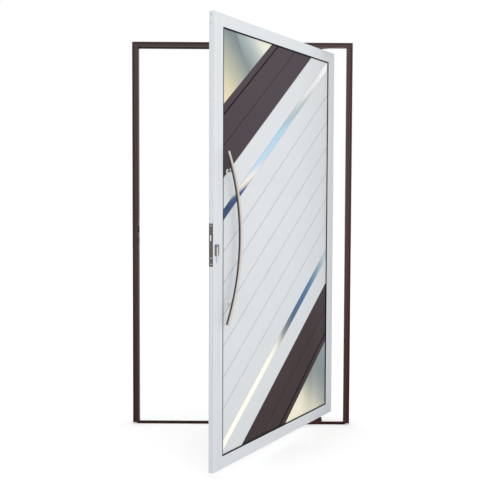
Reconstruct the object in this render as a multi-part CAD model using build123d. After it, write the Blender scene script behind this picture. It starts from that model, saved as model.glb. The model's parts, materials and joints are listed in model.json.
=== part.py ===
"""Pivot door: aluminium frame, hollow leaf filled with diagonal boards, pull bars and mortice lock.

Millimetres. X runs along the wall, Y through it and Z up. The room or street that sees the
front is on the -Y side. The origin is on the floor, at the middle of the sill's underside.
The leaf is laid out shut, in the plane of the frame, and is turned open about its pivots at the end.
"""
import os
from math import asin, cos, degrees, hypot, radians, sin, sqrt

from build123d import *

# Frame
FRAME_WIDTH = 1200.0
FRAME_HEIGHT = 2100.0
FRAME_DEPTH = 36.0
JAMB_FACE = 32.0
HEAD_FACE = 24.0
FRAME_WALL = 2.0
FIN_WIDTH = 5.5
FIN_GROOVE = 6.0
GROOVE_DEPTH = 5.0
SEAL_REACH = 7.5
SEAL_THICK = 4.5
SEAL_END_FROM_PIVOT = 36.0
SILL_THICK = 6.0
SILL_INSET = 22.0
SILL_CHAMFER = 3.0
ANCHOR_SCREW_R = 3.3
ANCHOR_HEIGHTS = (250.0, 1850.0)

# Leaf, seen shut
OPEN_ANGLE = 58.5
PIVOT_X = 429.0
LOCK_REACH = 991.5
PIVOT_REACH = 133.0
LEAF_BOTTOM = 37.5
LEAF_TOP = 2063.5
LEAF_THICK = 25.0
STILE_FACE = 71.0
RAIL_FACE = 57.5
LEAF_WALL = 1.8
CORNER_R = 1.5
EDGE_GROOVE_AT = 2.0
EDGE_GROOVE_WIDTH = 2.5
EDGE_GROOVE_DEPTH = 1.0
SEAM_FROM_EDGE = 38.0
SEAM_WIDTH = 1.2
SEAM_DEPTH = 0.7
LIP = 10.0
BOARD_THICK = 18.0
BOARD_COVER = 8.0
GASKET_SIGHT = 5.0
GASKET_SET_BACK = 0.8
GASKET_BEVEL = 1.5

# Diagonal lining, as distances square to the slope, counted from the panel's upper lock corner
SLOPE = 39.8
GLASS_END = 261.5
TRIM_END = 294.5
BOARD_PITCH = 109.0
STRIP_WIDTH = 36.0
PLAIN_BOARDS = 7
LOWER_SHIFT = 18.0
DRAWN_PAST_PANEL = 100.0
GROOVE = 1.5
TONGUE_REACH = 4.0
TONGUE_THICK = 4.0
DRY_GROOVE = 5.0
DRY_GROOVE_WIDTH = 6.0
GLASS_THICK = 8.0
GLASS_TONGUE = 5.0
GLASS_TONGUE_SET = 1.0
CORNER_PAST = 50.0
BEAD_FACE = 12.0

# Pull bars
BAR_RADIUS = 8.5
BAR_HALF_CHORD = 386.0
BAR_SAG = 99.0
BAR_MID_FROM_EDGE = 165.0
BAR_MID_HEIGHT = 1078.0
BAR_STANDOFF = 30.0
POST_HALF_SPACING = 297.0
POST_RADIUS = 7.0

# Lock
PLATE_WIDTH = 22.0
PLATE_HEIGHT = 190.0
PLATE_THICK = 3.0
PLATE_MID = 1050.0
CASE_THICK = 15.0
CASE_DEPTH = 52.0
CASE_LOW = 975.0
CASE_HIGH = 1128.0
LATCH_LOW = 1068.0
LATCH_HIGH = 1094.0
LATCH_THICK = 12.0
LATCH_REACH = 10.0
LATCH_TAIL = 26.0
BOLT_LOW = 1003.0
BOLT_HIGH = 1031.0
BOLT_THICK = 11.0
BOLT_TAIL = 15.5
SLIDE_GAP = 0.5
CYLINDER_BACKSET = 25.0
CYLINDER_MID = 1030.0
CYLINDER_R = 8.5
CYLINDER_TAIL_WIDTH = 10.0
CYLINDER_DROP = 24.5
CYLINDER_CLEAR = 0.3
LOCK_WINDOW_WIDTH = 18.0
LOCK_WINDOW_RISE = 10.0
LOCK_WINDOW_DROP = 25.0
ROSETTE_WIDTH = 29.0
ROSETTE_HEIGHT = 50.0
ROSETTE_CORNER_R = 7.0
ROSETTE_THICK = 3.0
ROSETTE_MID = 1027.5
LATCH_LIP = 3.0
LATCH_SPRING_ROOM = 12.0
BOLT_SET_BACK = 0.2
KEYHOLE_WIDTH = 2.6
KEYHOLE_HEIGHT = 9.0
KEYHOLE_DEPTH = 12.0

# Keyhole cover
COVER_PIVOT = 1045.5
COVER_WIDTH = 6.0
COVER_LENGTH = 71.0
COVER_THICK = 1.6
COVER_GAP = 0.4
COVER_PIN_R = 1.8
COVER_PIN_HEAD_R = 2.8
COVER_PIN_HEAD_THICK = 1.0

# Pivots
BLOCK_LENGTH = 110.0
BLOCK_TOP = 31.0
BLOCK_DEPTH = 34.0
BLOCK_PAST_AXIS = 19.0
PIN_R = 7.0
PIN_IN_LEAF = 24.0
PIN_CLEAR = 0.05
PIN_END_ROOM = 2.0
BUSH_LENGTH = 32.0
BUSH_WIDTH = 20.0
BLOCK_BEVEL = 2.0
TOP_PLATE_LENGTH = 70.0
TOP_PLATE_WIDTH = 30.0
TOP_PLATE_THICK = 3.0

# Strike in the lock jamb
STRIKE_LOW = 962.0
STRIKE_HIGH = 1138.0
STRIKE_DEPTH = 16.0
STRIKE_WIDTH = 30.0
STRIKE_ROOM = 4.0
LATCH_CHANNEL = 8.5
PAST = 1.0
SAME_POINT = 0.1

HALF = LEAF_THICK / 2
LIP_HALF = HALF - LEAF_WALL
NOSE_HALF = HALF - GASKET_SET_BACK
BOARD_HALF = BOARD_THICK / 2
LOCK_EDGE = PIVOT_X - LOCK_REACH
PIVOT_EDGE = PIVOT_X + PIVOT_REACH
OPENING_LOW_X = LOCK_EDGE + STILE_FACE
OPENING_HIGH_X = PIVOT_EDGE - STILE_FACE
OPENING_LOW_Z = LEAF_BOTTOM + RAIL_FACE
OPENING_HIGH_Z = LEAF_TOP - RAIL_FACE
PANEL_MID = ((OPENING_LOW_X + OPENING_HIGH_X) / 2, (OPENING_LOW_Z + OPENING_HIGH_Z) / 2)
CORNER_DISTANCE = (
    (OPENING_HIGH_X - OPENING_LOW_X) / 2 * sin(radians(SLOPE))
    + (OPENING_HIGH_Z - OPENING_LOW_Z) / 2 * cos(radians(SLOPE))
)
WIDE_BOARD_END = TRIM_END + 3 * BOARD_PITCH
FRONT = -FRAME_DEPTH / 2
BACK = FRAME_DEPTH / 2
JAMB_INNER = FRAME_WIDTH / 2 - JAMB_FACE
HEAD_UNDER = FRAME_HEIGHT - HEAD_FACE


def block(x0, x1, y0, y1, z0, z1):
    """A plain box between two corners."""
    return Pos((x0 + x1) / 2, (y0 + y1) / 2, (z0 + z1) / 2) * Box(x1 - x0, y1 - y0, z1 - z0)


def rounded(points, corners):
    """A closed outline whose named corners are rounded off as the leaf's edges are."""
    face = make_face(Polyline(*points, close=True))
    sharp = [v for v in face.vertices() if any(hypot(v.X - x, v.Y - y) < SAME_POINT for x, y in corners)]
    return fillet(sharp, CORNER_R)


def rod(start, direction, radius, length):
    """A round bar from a point along a direction."""
    return Plane(origin=start, z_dir=direction) * Cylinder(
        radius, length, align=(Align.CENTER, Align.CENTER, Align.MIN)
    )


def opened(shape):
    """Turn a piece of the leaf from its shut place to its open one."""
    return shape.rotate(Axis((PIVOT_X, 0, 0), (0, 0, 1)), OPEN_ANGLE)


def opposite(shape):
    """The same piece at the opposite corner of the panel."""
    return shape.rotate(Axis((PANEL_MID[0], 0, PANEL_MID[1]), (0, 1, 0)), 180)


# Frame pieces

def frame_profile(face):
    """Section of a jamb or head, as (across, depth): a tube with two fins along its outer side."""
    groove_end = FIN_WIDTH + FIN_GROOVE
    groove_low = FRONT + GROOVE_DEPTH
    groove_high = BACK - GROOVE_DEPTH
    outline = [
        (0, FRONT), (FIN_WIDTH, FRONT), (FIN_WIDTH, groove_low), (groove_end, groove_low),
        (groove_end, FRONT), (face, FRONT), (face, BACK), (groove_end, BACK),
        (groove_end, groove_high), (FIN_WIDTH, groove_high), (FIN_WIDTH, BACK), (0, BACK),
    ]
    wall = FRAME_WALL
    neck = groove_end + wall
    section = make_face(Polyline(*outline, close=True))
    between_grooves = FRAME_DEPTH - 2 * (GROOVE_DEPTH + wall)
    behind_fins = Pos((wall + neck) / 2, 0) * Rectangle(neck - wall, between_grooves)
    wide = face - neck - wall
    tube = Pos(neck + wide / 2, 0) * Rectangle(wide, FRAME_DEPTH - 2 * wall)
    return section - behind_fins - tube


def jamb(side):
    """Jamb standing over the sill, under the head. side is -1 at the lock and 1 at the pivot."""
    body = extrude(frame_profile(JAMB_FACE), HEAD_UNDER - SILL_THICK)
    body = Pos(-FRAME_WIDTH / 2, 0, SILL_THICK) * body
    for height in ANCHOR_HEIGHTS:
        start = (-FRAME_WIDTH / 2 - PAST, 0, height)
        body -= rod(start, (1, 0, 0), ANCHOR_SCREW_R, JAMB_FACE + 2 * PAST)
    return body if side < 0 else body.mirror(Plane.YZ)


def head():
    """Head across both jambs, with a seal strip behind the leaf as far as the pivot."""
    plane = Plane(origin=(-FRAME_WIDTH / 2, 0, FRAME_HEIGHT), x_dir=(0, 0, -1), z_dir=(1, 0, 0))
    body = plane * extrude(frame_profile(HEAD_FACE), FRAME_WIDTH)
    seal_end = PIVOT_X - SEAL_END_FROM_PIVOT
    return body + block(-JAMB_INNER, seal_end, BACK - SEAL_THICK, BACK, HEAD_UNDER - SEAL_REACH, HEAD_UNDER)


def sill():
    """Flat threshold under the inner parts of both jambs, with its lower end edges taken off."""
    half = FRAME_WIDTH / 2 - SILL_INSET
    outline = [
        (-half, SILL_THICK), (-half, SILL_CHAMFER), (-half + SILL_CHAMFER, 0),
        (half - SILL_CHAMFER, 0), (half, SILL_CHAMFER), (half, SILL_THICK),
    ]
    return extrude(Plane.XZ * make_face(Polyline(*outline, close=True)), FRAME_DEPTH / 2, both=True)


def strike_spaces():
    """Latch channel, open to the front so that the door can shut, and the closed bolt pocket."""
    face = -JAMB_INNER
    latch_end = face - LATCH_CHANNEL
    latch_back = LATCH_THICK / 2 + STRIKE_ROOM
    latch_heights = (LATCH_LOW - STRIKE_ROOM, LATCH_HIGH + STRIKE_ROOM)
    bolt_end = face - STRIKE_DEPTH - PAST
    bolt_half = BOLT_THICK / 2 + STRIKE_ROOM
    bolt_heights = (BOLT_LOW - STRIKE_ROOM, BOLT_HIGH + STRIKE_ROOM)
    return [
        block(latch_end, face + PAST, FRONT - PAST, latch_back, *latch_heights),
        block(bolt_end, face + PAST, -bolt_half, bolt_half, *bolt_heights),
    ]


def strike_body(past=0.0):
    """Strike box let into the inner face of the lock jamb, still without its spaces."""
    half = STRIKE_WIDTH / 2
    return block(-JAMB_INNER - STRIKE_DEPTH, -JAMB_INNER + past, -half, half, STRIKE_LOW, STRIKE_HIGH)


def pivot_block():
    """Bottom bearing block on the sill, under the pivot axis, with bevelled upper edges."""
    right = PIVOT_X + BLOCK_PAST_AXIS
    half = BLOCK_DEPTH / 2
    body = block(right - BLOCK_LENGTH, right, -half, half, SILL_THICK, BLOCK_TOP)
    return chamfer(body.faces().sort_by(Axis.Z)[-1].edges(), BLOCK_BEVEL)


# Leaf pieces, laid out shut

def stile(edge, sign):
    """Full-height hollow stile with lips for the lining, rounded edges, seal grooves and a seam line.

    edge is its outer side and sign points from there towards the lining.
    """
    tube = STILE_FACE - LIP
    near = EDGE_GROOVE_AT
    far = EDGE_GROOVE_AT + EDGE_GROOVE_WIDTH
    seam = (SEAM_FROM_EDGE, SEAM_FROM_EDGE + SEAM_WIDTH)
    front_half = [
        (0, -HALF), (seam[0], -HALF), (seam[0], -HALF + SEAM_DEPTH), (seam[1], -HALF + SEAM_DEPTH),
        (seam[1], -HALF), (STILE_FACE, -HALF), (STILE_FACE, -LIP_HALF), (tube, -LIP_HALF),
    ]
    deep = EDGE_GROOVE_DEPTH
    edge_side = [(0, far - HALF), (deep, far - HALF), (deep, near - HALF), (0, near - HALF)]
    back_half = [(u, -y) for u, y in reversed(front_half)]
    edge_back = [(u, -y) for u, y in reversed(edge_side)]
    points = [(edge + sign * u, y) for u, y in front_half + back_half + edge_back + edge_side]
    section = rounded(points, [(edge, -HALF), (edge, HALF)])
    inner = tube - 2 * LEAF_WALL
    section -= Pos(edge + sign * (LEAF_WALL + inner / 2), 0) * Rectangle(inner, 2 * LIP_HALF)
    return Pos(0, 0, LEAF_BOTTOM) * extrude(section, LEAF_TOP - LEAF_BOTTOM)


def rail(edge, sign):
    """Hollow rail between the stiles, its ends coped to slide between their lips.

    edge is its outer side and sign points from there towards the lining.
    """
    tube = RAIL_FACE - LIP
    front_half = [(0, -HALF), (RAIL_FACE, -HALF), (RAIL_FACE, -LIP_HALF), (tube, -LIP_HALF)]
    back_half = [(v, -y) for v, y in reversed(front_half)]
    section = rounded(front_half + back_half, [(0, -HALF), (0, HALF)])
    inner = tube - 2 * LEAF_WALL
    section -= Pos(LEAF_WALL + inner / 2, 0) * Rectangle(inner, 2 * LIP_HALF)
    x0 = OPENING_LOW_X - LIP
    x1 = OPENING_HIGH_X + LIP
    plane = Plane(origin=(x0, 0, edge), x_dir=(0, 0, sign), z_dir=(sign, 0, 0))
    body = plane * extrude(section, sign * (x1 - x0))
    z0, z1 = sorted((edge - sign * PAST, edge + sign * (RAIL_FACE + PAST)))
    for near, far in ((x0 - PAST, OPENING_LOW_X), (OPENING_HIGH_X, x1 + PAST)):
        body -= block(near, far, -HALF - PAST, -LIP_HALF, z0, z1)
        body -= block(near, far, LIP_HALF, HALF + PAST, z0, z1)
    return body


def bush_body(end, step):
    """Outer shape of a bearing block, also the cut-out in the rail that takes it."""
    low, high = sorted((end, end + step * (RAIL_FACE - LIP)))
    half = BUSH_LENGTH / 2
    return block(PIVOT_X - half, PIVOT_X + half, -BUSH_WIDTH / 2, BUSH_WIDTH / 2, low, high)


def pivot_bush(end, step):
    """Bearing block in a rail, bored on the pivot axis. step points from the leaf's end into it."""
    depth = PIN_IN_LEAF + PIN_END_ROOM + PAST
    bore = rod((PIVOT_X, 0, end - step * PAST), (0, 0, step), PIN_R + PIN_CLEAR, depth)
    return bush_body(end, step) - bore


def panel_field(grow, low, high):
    """The opening between stiles and rails, grown on all four sides, as a block between two depths."""
    return block(
        OPENING_LOW_X - grow, OPENING_HIGH_X + grow, low, high, OPENING_LOW_Z - grow, OPENING_HIGH_Z + grow
    )


def gasket(side):
    """Rubber ring between lips and lining, with a bevelled nose. side is -1 in front, 1 behind."""
    foot = panel_field(BOARD_COVER, *sorted((side * BOARD_HALF, side * LIP_HALF)))
    nose = panel_field(0, *sorted((side * BOARD_HALF, side * NOSE_HALF)))
    ring = foot + nose - panel_field(-GASKET_SIGHT, -HALF, HALF)
    outer = ring.faces().sort_by(Axis.Y)[0 if side < 0 else -1]
    return chamfer(outer.inner_wires()[0].edges(), GASKET_BEVEL)


def slope_plane():
    """Plane on the upper lock corner. Its X runs square to the slope, its normal climbs the slope."""
    angle = radians(SLOPE)
    down = (sin(angle), 0, -cos(angle))
    along = (cos(angle), 0, sin(angle))
    origin = (PANEL_MID[0] - CORNER_DISTANCE * down[0], 0, PANEL_MID[1] - CORNER_DISTANCE * down[2])
    return Plane(origin=origin, x_dir=down, z_dir=along)


def sloped(points):
    """A section of (distance from the corner, depth) points, drawn along the slope, cut to the panel."""
    reach = hypot(OPENING_HIGH_X - OPENING_LOW_X, OPENING_HIGH_Z - OPENING_LOW_Z) / 2 + DRAWN_PAST_PANEL
    plane = slope_plane()
    signed = -1 if plane.y_dir.Y < 0 else 1
    face = make_face(Polyline(*[(d, signed * y) for d, y in points], close=True))
    return (plane * extrude(face, reach, both=True)) & panel_field(BOARD_COVER, -HALF, HALF)


def board(d0, d1, slot=False, tongue=False):
    """Lining board with V-grooved edges, a slot on its upper edge and a tongue on its lower edge."""
    half = BOARD_HALF
    g = GROOVE
    t = TONGUE_THICK / 2
    points = [(d0 + g, -half), (d1 - g, -half), (d1, -half + g)]
    if tongue:
        points += [(d1, -t), (d1 + TONGUE_REACH, -t), (d1 + TONGUE_REACH, t), (d1, t)]
    points += [(d1, half - g), (d1 - g, half), (d0 + g, half), (d0, half - g)]
    if slot:
        points += [(d0, t), (d0 + TONGUE_REACH, t), (d0 + TONGUE_REACH, -t), (d0, -t)]
    points.append((d0, -half + g))
    return sloped(points)


def dark_trim(shift):
    """Narrow edge strip that laps the glass and leaves a deep groove before the first dark board."""
    half = BOARD_HALF
    start = GLASS_END + shift
    end = TRIM_END + shift
    dry_end = end + DRY_GROOVE_WIDTH
    rebate = start + GLASS_TONGUE
    tongue_low = -half + GLASS_TONGUE_SET
    tongue_high = -half + GLASS_THICK - GLASS_TONGUE_SET
    return sloped([
        (start, -half), (end - GROOVE, -half), (end, -half + GROOVE), (end, -half + DRY_GROOVE),
        (dry_end, -half + DRY_GROOVE), (dry_end, half - DRY_GROOVE), (end, half - DRY_GROOVE),
        (end, half - GROOVE), (end - GROOVE, half), (start, half),
        (start, tongue_high), (rebate, tongue_high), (rebate, tongue_low), (start, tongue_low),
    ])


def corner_glass(shift):
    """Triangular pane in the upper lock corner, flush with the boards in front."""
    front = -BOARD_HALF
    back = front + GLASS_THICK
    tongue_front = front + GLASS_TONGUE_SET
    tongue_back = back - GLASS_TONGUE_SET
    end = GLASS_END + shift
    tip = end + GLASS_TONGUE
    return sloped([
        (-CORNER_PAST, front), (end, front), (end, tongue_front), (tip, tongue_front),
        (tip, tongue_back), (end, tongue_back), (end, back), (-CORNER_PAST, back),
    ])


def corner_bead(shift):
    """Clip-in bead behind the pane, round its three sides."""
    back_of_glass = GLASS_THICK - BOARD_HALF
    end = GLASS_END + shift
    inner_end = end - BEAD_FACE
    start = -CORNER_PAST
    whole = sloped([(start, back_of_glass), (end, back_of_glass), (end, BOARD_HALF), (start, BOARD_HALF)])
    inner = sloped([(start, -HALF), (inner_end, -HALF), (inner_end, HALF), (start, HALF)])
    return whole - (inner & panel_field(-GASKET_SIGHT - BEAD_FACE, -HALF, HALF))


def corner(shift):
    """Everything from the upper lock corner to the mirror strip, moved on by the shift."""
    half = BOARD_HALF
    edge = TRIM_END + shift
    strip = WIDE_BOARD_END + shift
    strip_end = strip + STRIP_WIDTH
    return {
        "glass": corner_glass(shift),
        "glass_bead": corner_bead(shift),
        "dark_trim": dark_trim(shift),
        "dark_board_1": board(edge + DRY_GROOVE_WIDTH, edge + BOARD_PITCH),
        "dark_board_2": board(edge + BOARD_PITCH, edge + 2 * BOARD_PITCH),
        "white_board": board(edge + 2 * BOARD_PITCH, strip),
        "mirror_strip": sloped([(strip, -half), (strip_end, -half), (strip_end, half), (strip, half)]),
    }


def lining():
    """All boards, strips and panes, by name. The lower corner repeats the upper one, further in."""
    pieces = {"upper_" + name: shape for name, shape in corner(0).items()}
    for name, shape in corner(LOWER_SHIFT).items():
        pieces["lower_" + name] = opposite(shape)
    strip_end = WIDE_BOARD_END + STRIP_WIDTH
    width = (2 * CORNER_DISTANCE - 2 * strip_end - LOWER_SHIFT) / PLAIN_BOARDS
    for index in range(PLAIN_BOARDS):
        start = strip_end + index * width
        pieces[f"plain_board_{index + 1}"] = board(
            start, start + width, slot=index > 0, tongue=index < PLAIN_BOARDS - 1
        )
    return pieces


# Handles

BOW_RADIUS = (BAR_HALF_CHORD**2 + BAR_SAG**2) / (2 * BAR_SAG)
BOW_MID_X = LOCK_EDGE + BAR_MID_FROM_EDGE - BOW_RADIUS


def bar_x(dz):
    """Place of the bar's centre line across the leaf, dz above its middle."""
    return BOW_MID_X + sqrt(BOW_RADIUS**2 - dz**2)


def pull_bar(side):
    """Bowed round bar. side is -1 in front and 1 behind."""
    y = side * (HALF + BAR_STANDOFF)
    swing = degrees(asin(BAR_HALF_CHORD / BOW_RADIUS))
    section = Pos(BOW_RADIUS, 0) * Circle(BAR_RADIUS)
    bow = revolve(Plane.XY * section, Axis.Y, 2 * swing)
    return Pos(BOW_MID_X, y, BAR_MID_HEIGHT) * bow.rotate(Axis.Y, -swing)


def bar_posts():
    """Four posts, two on each face of the leaf, coped round the bars."""
    posts = []
    reach = HALF + BAR_STANDOFF - BOARD_HALF
    for side in (-1, 1):
        for dz in (-POST_HALF_SPACING, POST_HALF_SPACING):
            x = bar_x(dz)
            z = BAR_MID_HEIGHT + dz
            foot = (x, side * BOARD_HALF, z)
            post = rod(foot, (0, side, 0), POST_RADIUS, reach)
            along = Vector(-dz, 0, x - BOW_MID_X).normalized()
            middle = Vector(x, side * (HALF + BAR_STANDOFF), z)
            start = middle - along * 2 * BAR_RADIUS
            post -= rod(tuple(start), tuple(along), BAR_RADIUS, 4 * BAR_RADIUS)
            posts.append(post.solids().sort_by(Axis.Y)[-1 if side < 0 else 0])
    return Compound(children=posts)


# Lock

def from_edge(distance):
    """Place across the leaf, counted from its lock edge."""
    return LOCK_EDGE + distance


def faceplate():
    """The lock's faceplate, also the cut-out that takes it."""
    return block(
        from_edge(0), from_edge(PLATE_THICK), -PLATE_WIDTH / 2, PLATE_WIDTH / 2,
        PLATE_MID - PLATE_HEIGHT / 2, PLATE_MID + PLATE_HEIGHT / 2,
    )


def cylinder_shape(reach, grow=0.0):
    """Profile cylinder: round above, a narrow tail below, right through the leaf."""
    x = from_edge(CYLINDER_BACKSET)
    tail = CYLINDER_TAIL_WIDTH / 2 + grow
    low = CYLINDER_MID - CYLINDER_DROP - grow
    sketch = Plane.XZ * (
        Pos(x, CYLINDER_MID) * Circle(CYLINDER_R + grow)
        + Pos(x, (low + tail + CYLINDER_MID) / 2) * Rectangle(2 * tail, CYLINDER_MID - low - tail)
        + Pos(x, low + tail) * Circle(tail)
    )
    return extrude(sketch, reach, both=True)


def lock_case():
    """Faceplate and case, hollowed for the two bolts and the cylinder."""
    half = CASE_THICK / 2
    latch_half = LATCH_THICK / 2 + SLIDE_GAP
    latch_heights = (LATCH_LOW - SLIDE_GAP, LATCH_HIGH + SLIDE_GAP)
    latch_end = from_edge(LATCH_TAIL + LATCH_SPRING_ROOM)
    bolt_half = BOLT_THICK / 2 + SLIDE_GAP
    bolt_heights = (BOLT_LOW - SLIDE_GAP, BOLT_HIGH + SLIDE_GAP)
    case = block(from_edge(PLATE_THICK), from_edge(CASE_DEPTH), -half, half, CASE_LOW, CASE_HIGH)
    latch_space = block(from_edge(-PAST), latch_end, -latch_half, latch_half, *latch_heights)
    bolt_space = block(from_edge(-PAST), from_edge(BOLT_TAIL), -bolt_half, bolt_half, *bolt_heights)
    return faceplate() + case - latch_space - bolt_space - cylinder_shape(HALF + PAST, CYLINDER_CLEAR)


def latch():
    """Sprung latch with its bevel towards the back, the way the door shuts."""
    tip = from_edge(-LATCH_REACH)
    tail = from_edge(LATCH_TAIL)
    half = LATCH_THICK / 2
    points = [(tip, -half), (tip, -half + LATCH_LIP), (from_edge(0), half), (tail, half), (tail, -half)]
    outline = make_face(Polyline(*points, close=True))
    return Pos(0, 0, LATCH_LOW) * extrude(outline, LATCH_HIGH - LATCH_LOW)


def dead_bolt():
    """Dead bolt, drawn back flush with the faceplate."""
    half = BOLT_THICK / 2
    tail = from_edge(BOLT_TAIL - SLIDE_GAP)
    return block(from_edge(BOLT_SET_BACK), tail, -half, half, BOLT_LOW, BOLT_HIGH)


def cover_pin_foot():
    """Foot of the pin that carries the keyhole cover, on the front rosette."""
    return (from_edge(CYLINDER_BACKSET), -HALF - ROSETTE_THICK, COVER_PIVOT)


def rosettes():
    """Oblong plates over the cylinder, one on each face; the front one carries the cover's pin."""
    oblong = RectangleRounded(ROSETTE_WIDTH, ROSETTE_HEIGHT, ROSETTE_CORNER_R)
    sketch = Plane.XZ * (Pos(from_edge(CYLINDER_BACKSET), ROSETTE_MID) * oblong)
    pair = []
    for side in (-1, 1):
        plate = extrude(sketch, ROSETTE_THICK / 2, both=True)
        plate = Pos(0, side * (HALF + ROSETTE_THICK / 2), 0) * plate
        pair.append(plate - cylinder_shape(HALF + ROSETTE_THICK + PAST, CYLINDER_CLEAR))
    x, y, z = cover_pin_foot()
    shank = COVER_GAP * 2 + COVER_THICK
    pair[0] += rod((x, y, z), (0, -1, 0), COVER_PIN_R, shank)
    pair[0] += rod((x, y - shank, z), (0, -1, 0), COVER_PIN_HEAD_R, COVER_PIN_HEAD_THICK)
    return Compound(children=[plate.solid() for plate in pair])


def cylinder():
    """Cylinder flush with both rosettes, with a keyhole at each end."""
    reach = HALF + ROSETTE_THICK
    body = cylinder_shape(reach)
    x = from_edge(CYLINDER_BACKSET)
    w = KEYHOLE_WIDTH / 2
    h = KEYHOLE_HEIGHT / 2
    for side in (-1, 1):
        y0, y1 = sorted((side * (reach + PAST), side * (reach - KEYHOLE_DEPTH)))
        body -= block(x - w, x + w, y0, y1, CYLINDER_MID - h, CYLINDER_MID + h)
    return body


def keyhole_cover():
    """Narrow flap that hangs over the keyhole from its pin and past the rosette."""
    x, y, z = cover_pin_foot()
    outline = Plane.XZ * (
        Pos(x, z - COVER_LENGTH / 2) * SlotCenterToCenter(COVER_LENGTH, COVER_WIDTH, rotation=90)
        - Pos(x, z) * Circle(COVER_PIN_R + PIN_CLEAR)
    )
    return Pos(0, y - COVER_GAP, 0) * extrude(outline, COVER_THICK)


# Pivot pins

def bottom_pin():
    """Steel pin that stands in the block and carries the leaf."""
    return rod((PIVOT_X, 0, BLOCK_TOP), (0, 0, 1), PIN_R, LEAF_BOTTOM - BLOCK_TOP + PIN_IN_LEAF)


def top_pin():
    """Steel pin on a plate under the head."""
    long = TOP_PLATE_LENGTH / 2
    wide = TOP_PLATE_WIDTH / 2
    under = HEAD_UNDER - TOP_PLATE_THICK
    plate = block(PIVOT_X - long, PIVOT_X + long, -wide, wide, under, HEAD_UNDER)
    drop = HEAD_UNDER - LEAF_TOP + PIN_IN_LEAF
    return plate + rod((PIVOT_X, 0, HEAD_UNDER), (0, 0, -1), PIN_R, drop)


def build():
    """Every piece by name: the frame as it stands, the leaf turned open."""
    lock_jamb = jamb(-1) - strike_body(PAST)
    strike_box = strike_body()
    for space in strike_spaces():
        lock_jamb -= space
        strike_box -= space
    pieces = {
        "lock_jamb": lock_jamb,
        "pivot_jamb": jamb(1),
        "head": head(),
        "sill": sill(),
        "strike_box": strike_box,
        "pivot_block": pivot_block(),
        "bottom_pivot_pin": bottom_pin(),
        "top_pivot_pin": top_pin(),
    }
    window = from_edge(CYLINDER_BACKSET)
    lock_space = block(
        window - LOCK_WINDOW_WIDTH / 2, window + LOCK_WINDOW_WIDTH / 2, -HALF - PAST, HALF + PAST,
        CYLINDER_MID - LOCK_WINDOW_DROP, CYLINDER_MID + LOCK_WINDOW_RISE,
    )
    turning = {
        "lock_stile": stile(LOCK_EDGE, 1) - faceplate() - lock_space,
        "pivot_stile": stile(PIVOT_EDGE, -1),
        "top_rail": rail(LEAF_TOP, -1) - bush_body(LEAF_TOP, -1),
        "bottom_rail": rail(LEAF_BOTTOM, 1) - bush_body(LEAF_BOTTOM, 1),
        "top_pivot_bush": pivot_bush(LEAF_TOP, -1),
        "bottom_pivot_bush": pivot_bush(LEAF_BOTTOM, 1),
        "front_gasket": gasket(-1),
        "back_gasket": gasket(1),
        "front_pull_bar": pull_bar(-1),
        "back_pull_bar": pull_bar(1),
        "pull_bar_posts": bar_posts(),
        "lock_case": lock_case(),
        "latch_bolt": latch(),
        "dead_bolt": dead_bolt(),
        "rosettes": rosettes(),
        "lock_cylinder": cylinder(),
        "keyhole_cover": keyhole_cover(),
    }
    turning.update(lining())
    for name, shape in turning.items():
        pieces[name] = opened(shape)
    return pieces


def main():
    os.makedirs("parts", exist_ok=True)
    for name, shape in build().items():
        export_step(shape, f"parts/{name}.step")
        print(name, round(shape.volume / 1000, 1), "cm3")


main()
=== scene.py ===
# %% [markdown]
# # A pivot door, dressed in Blender
#
# The CAD model of this door is already built: an aluminium frame, a hollow leaf that turns on two
# pins, a lining of diagonal boards with two polished strips and two glass corners, bowed pull
# bars and a mortice lock. This lesson gives it its looks. The CAD pieces keep their shapes and
# get their finishes. Only the two pull bars are made again, with the same shape, so that a
# brushed finish can follow their bow. A few small things that CAD leaves out, such as screws and
# seal lips, are added.
#
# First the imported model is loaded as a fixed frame: X along the wall, Y through it, Z up, the
# origin under the middle of the sill. Blender reckons in metres. Small measures are written in
# millimetres and scaled on the way.

import json
from math import asin, cos, pi, radians, sin

import bmesh
import bpy
from mathutils import Matrix, Vector


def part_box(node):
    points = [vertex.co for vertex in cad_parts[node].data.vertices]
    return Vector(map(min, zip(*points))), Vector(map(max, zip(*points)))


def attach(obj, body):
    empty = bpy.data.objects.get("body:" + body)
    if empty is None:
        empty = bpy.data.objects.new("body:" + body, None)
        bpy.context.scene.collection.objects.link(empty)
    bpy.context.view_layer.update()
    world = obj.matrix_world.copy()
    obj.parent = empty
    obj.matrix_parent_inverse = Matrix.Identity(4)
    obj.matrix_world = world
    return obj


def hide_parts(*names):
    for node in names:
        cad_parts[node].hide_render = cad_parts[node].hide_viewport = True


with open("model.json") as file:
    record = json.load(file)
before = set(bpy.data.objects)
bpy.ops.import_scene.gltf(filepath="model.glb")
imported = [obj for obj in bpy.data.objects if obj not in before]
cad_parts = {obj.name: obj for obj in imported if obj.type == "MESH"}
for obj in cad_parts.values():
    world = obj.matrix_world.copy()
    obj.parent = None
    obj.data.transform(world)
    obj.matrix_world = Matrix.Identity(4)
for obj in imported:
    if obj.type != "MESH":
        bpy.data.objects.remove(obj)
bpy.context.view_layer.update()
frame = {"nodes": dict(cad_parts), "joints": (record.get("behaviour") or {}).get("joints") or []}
nodes = frame["nodes"]
joints = {joint["name"]: joint for joint in frame["joints"]}

# %% [markdown]
# The leaf stands open, so a place on it is easier to give as it is read off the leaf itself: how
# far from its lock edge, how far behind its middle plane, and how high. The hinge of the packed
# record says where the leaf turns, and its lower limit is the shut door, so the open angle
# follows from it.

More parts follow.
